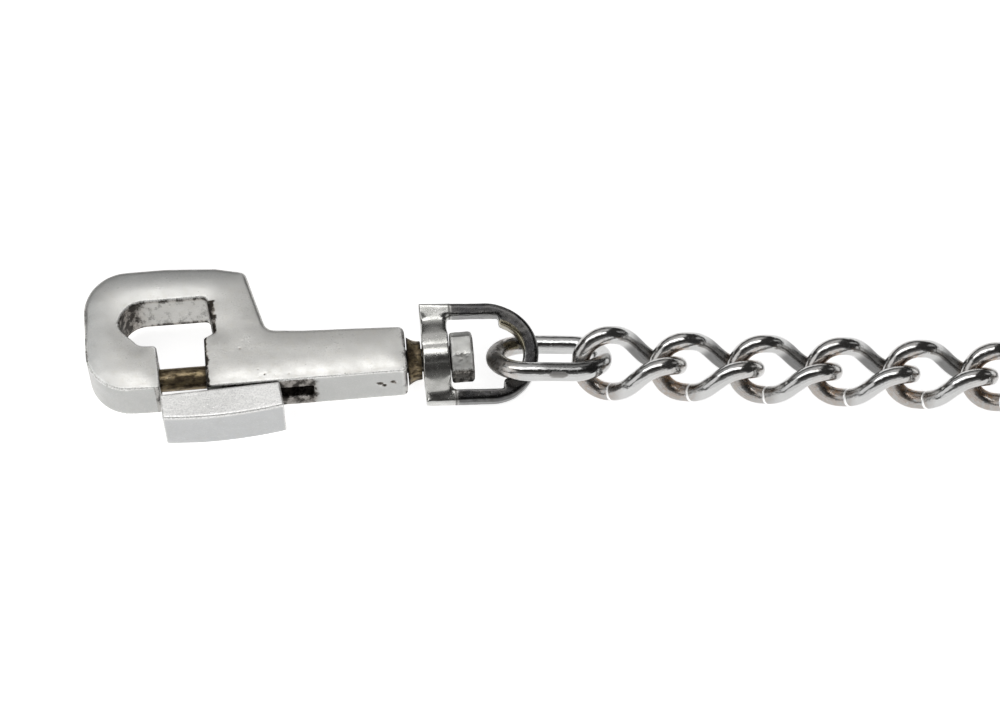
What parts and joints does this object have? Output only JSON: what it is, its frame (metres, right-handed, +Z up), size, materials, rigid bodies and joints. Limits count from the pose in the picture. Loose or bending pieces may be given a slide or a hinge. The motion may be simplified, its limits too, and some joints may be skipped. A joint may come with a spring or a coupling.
{
  "type": "snap hook on a curb chain",
  "caption": "Slide-gate snap hook with a spring bolt, a swivel eye and a connector link on a twisted curb chain that ends in a round ring.",
  "frame": {"origin": "on the rest face of the shank, the broad face that the snap lies on, under the axis that the bolt and the swivel share", "axes": "+X from the snap towards the chain along the bolt and swivel axis, +Y across the snap away from the thumb slider, +Z up from the rest face"},
  "size_m": [0.4564, 0.0644, 0.0134],
  "materials": {
    "cast_steel": "cast, filed and plated, satin with fine scratches",
    "slider_steel": "brushed along its length",
    "filed_steel": "filed flats, dull",
    "dark_steel": "smooth cast metal with worn plating, dark reflections",
    "bright_steel": "polished, mirror-like",
    "tarnished_brass": "brown tarnish over brass",
    "spring_steel": "plain drawn wire"
  },
  "bodies": {
    "snap": {"hook_body": "cast_steel", "swivel_stud": "filed_steel", "swivel_collar": "tarnished_brass", "bolt_spring": "spring_steel"},
    "slider": {"slide_bolt": "tarnished_brass", "thumb_slider": "slider_steel", "slider_rivet": "spring_steel"},
    "eye": {"swivel_eye": "dark_steel"},
    "connector": {"connector_link": "bright_steel"},
    "link_01": {"curb_link_01": "bright_steel"},
    "link_02": {"curb_link_02": "bright_steel"},
    "link_03": {"curb_link_03": "bright_steel"},
    "link_04": {"curb_link_04": "bright_steel"},
    "link_05": {"curb_link_05": "bright_steel"},
    "link_06": {"curb_link_06": "bright_steel"},
    "link_07": {"curb_link_07": "bright_steel"},
    "link_08": {"curb_link_08": "bright_steel"},
    "link_09": {"curb_link_09": "bright_steel"},
    "link_10": {"curb_link_10": "bright_steel"},
    "link_11": {"curb_link_11": "bright_steel"},
    "link_12": {"curb_link_12": "bright_steel"},
    "link_13": {"curb_link_13": "bright_steel"},
    "link_14": {"curb_link_14": "bright_steel"},
    "link_15": {"curb_link_15": "bright_steel"},
    "link_16": {"curb_link_16": "bright_steel"},
    "link_17": {"curb_link_17": "bright_steel"},
    "link_18": {"curb_link_18": "bright_steel"},
    "link_19": {"curb_link_19": "bright_steel"},
    "ring": {"end_ring": "bright_steel"}
  },
  "joints": [
    {"name": "bolt_slide", "type": "slide", "parent": "snap", "child": "slider", "axis": [1, 0, 0], "range_m": [0, 0.0118], "stiffness_N_per_m": 400, "springref_m": -0.006, "deforming": ["bolt_spring"]},
    {"name": "swivel_turn", "type": "hinge", "parent": "snap", "child": "eye", "pos_m": [0.0136, 0, 0.0059], "axis": [1, 0, 0], "continuous": true},
    {"name": "connector_swing", "type": "hinge", "parent": "eye", "child": "connector", "pos_m": [0.0353, 0, 0.0059], "axis": [0, 0.9537, 0.3007], "range_deg": [-8, 100]},
    {"name": "link_01_turn", "type": "hinge", "parent": "connector", "child": "link_01", "pos_m": [0.05259, -0.00334, 0.0062], "axis": [0.0851, 0.8097, -0.5807], "range_deg": [-40, 60]},
    {"name": "link_02_turn", "type": "hinge", "parent": "link_01", "child": "link_02", "pos_m": [0.06438, -0.00629, 0.00635], "axis": [0.0866, 0.6759, 0.7319], "range_deg": [-55, 40]},
    {"name": "link_03_turn", "type": "hinge", "parent": "link_02", "child": "link_03", "pos_m": [0.08545, -0.00899, 0.00635], "axis": [-0.0654, -0.5102, 0.8576], "range_deg": [-50, 50]},
    {"name": "link_04_turn", "type": "hinge", "parent": "link_03", "child": "link_04", "pos_m": [0.0978, -0.01057, 0.00635], "axis": [-0.0866, -0.6759, -0.7319], "range_deg": [-50, 50]},
    {"name": "link_05_turn", "type": "hinge", "parent": "link_04", "child": "link_05", "pos_m": [0.11888, -0.01327, 0.00635], "axis": [0.0654, 0.5102, -0.8576], "range_deg": [-50, 50]},
    {"name": "link_06_turn", "type": "hinge", "parent": "link_05", "child": "link_06", "pos_m": [0.13123, -0.01486, 0.00635], "axis": [0.0855, 0.676, 0.7319], "range_deg": [-50, 50]},
    {"name": "link_07_turn", "type": "hinge", "parent": "link_06", "child": "link_07", "pos_m": [0.15231, -0.01753, 0.00635], "axis": [-0.0646, -0.5103, 0.8576], "range_deg": [-50, 50]},
    {"name": "link_08_turn", "type": "hinge", "parent": "link_07", "child": "link_08", "pos_m": [0.16467, -0.01904, 0.00635], "axis": [-0.0772, -0.677, -0.7319], "range_deg": [-50, 50]},
    {"name": "link_09_turn", "type": "hinge", "parent": "link_08", "child": "link_09", "pos_m": [0.18578, -0.02144, 0.00635], "axis": [0.0583, 0.511, -0.8576], "range_deg": [-50, 50]},
    {"name": "link_10_turn", "type": "hinge", "parent": "link_09", "child": "link_10", "pos_m": [0.19817, -0.02273, 0.00635], "axis": [0.0613, 0.6786, 0.7319], "range_deg": [-50, 50]},
    {"name": "link_11_turn", "type": "hinge", "parent": "link_10", "child": "link_11", "pos_m": [0.21933, -0.02464, 0.00635], "axis": [-0.0463, -0.5122, 0.8576], "range_deg": [-50, 50]},
    {"name": "link_12_turn", "type": "hinge", "parent": "link_11", "child": "link_12", "pos_m": [0.23174, -0.02558, 0.00635], "axis": [-0.0394, -0.6802, -0.7319], "range_deg": [-50, 50]},
    {"name": "link_13_turn", "type": "hinge", "parent": "link_12", "child": "link_13", "pos_m": [0.25296, -0.02681, 0.00635], "axis": [0.0297, 0.5135, -0.8576], "range_deg": [-50, 50]},
    {"name": "link_14_turn", "type": "hinge", "parent": "link_13", "child": "link_14", "pos_m": [0.2654, -0.0273, 0.00635], "axis": [0.0136, 0.6813, 0.7319], "range_deg": [-50, 50]},
    {"name": "link_15_turn", "type": "hinge", "parent": "link_14", "child": "link_15", "pos_m": [0.28664, -0.02772, 0.00635], "axis": [-0.0103, -0.5142, 0.8576], "range_deg": [-50, 50]},
    {"name": "link_16_turn", "type": "hinge", "parent": "link_15", "child": "link_16", "pos_m": [0.2991, -0.02772, 0.00635], "axis": [0.0136, -0.6813, -0.7319], "range_deg": [-50, 50]},
    {"name": "link_17_turn", "type": "hinge", "parent": "link_16", "child": "link_17", "pos_m": [0.32034, -0.0273, 0.00635], "axis": [-0.0103, 0.5142, -0.8576], "range_deg": [-50, 50]},
    {"name": "link_18_turn", "type": "hinge", "parent": "link_17", "child": "link_18", "pos_m": [0.33278, -0.02681, 0.00635], "axis": [-0.0394, 0.6802, 0.7319], "range_deg": [-50, 50]},
    {"name": "link_19_turn", "type": "hinge", "parent": "link_18", "child": "link_19", "pos_m": [0.354, -0.02558, 0.00635], "axis": [0.0297, -0.5135, 0.8576], "range_deg": [-50, 50]},
    {"name": "ring_turn", "type": "hinge", "parent": "link_19", "child": "ring", "pos_m": [0.3656, -0.02066, 0.00665], "axis": [0.1456, 0.9398, 0.309], "range_deg": [-4, 120]}
  ]
}
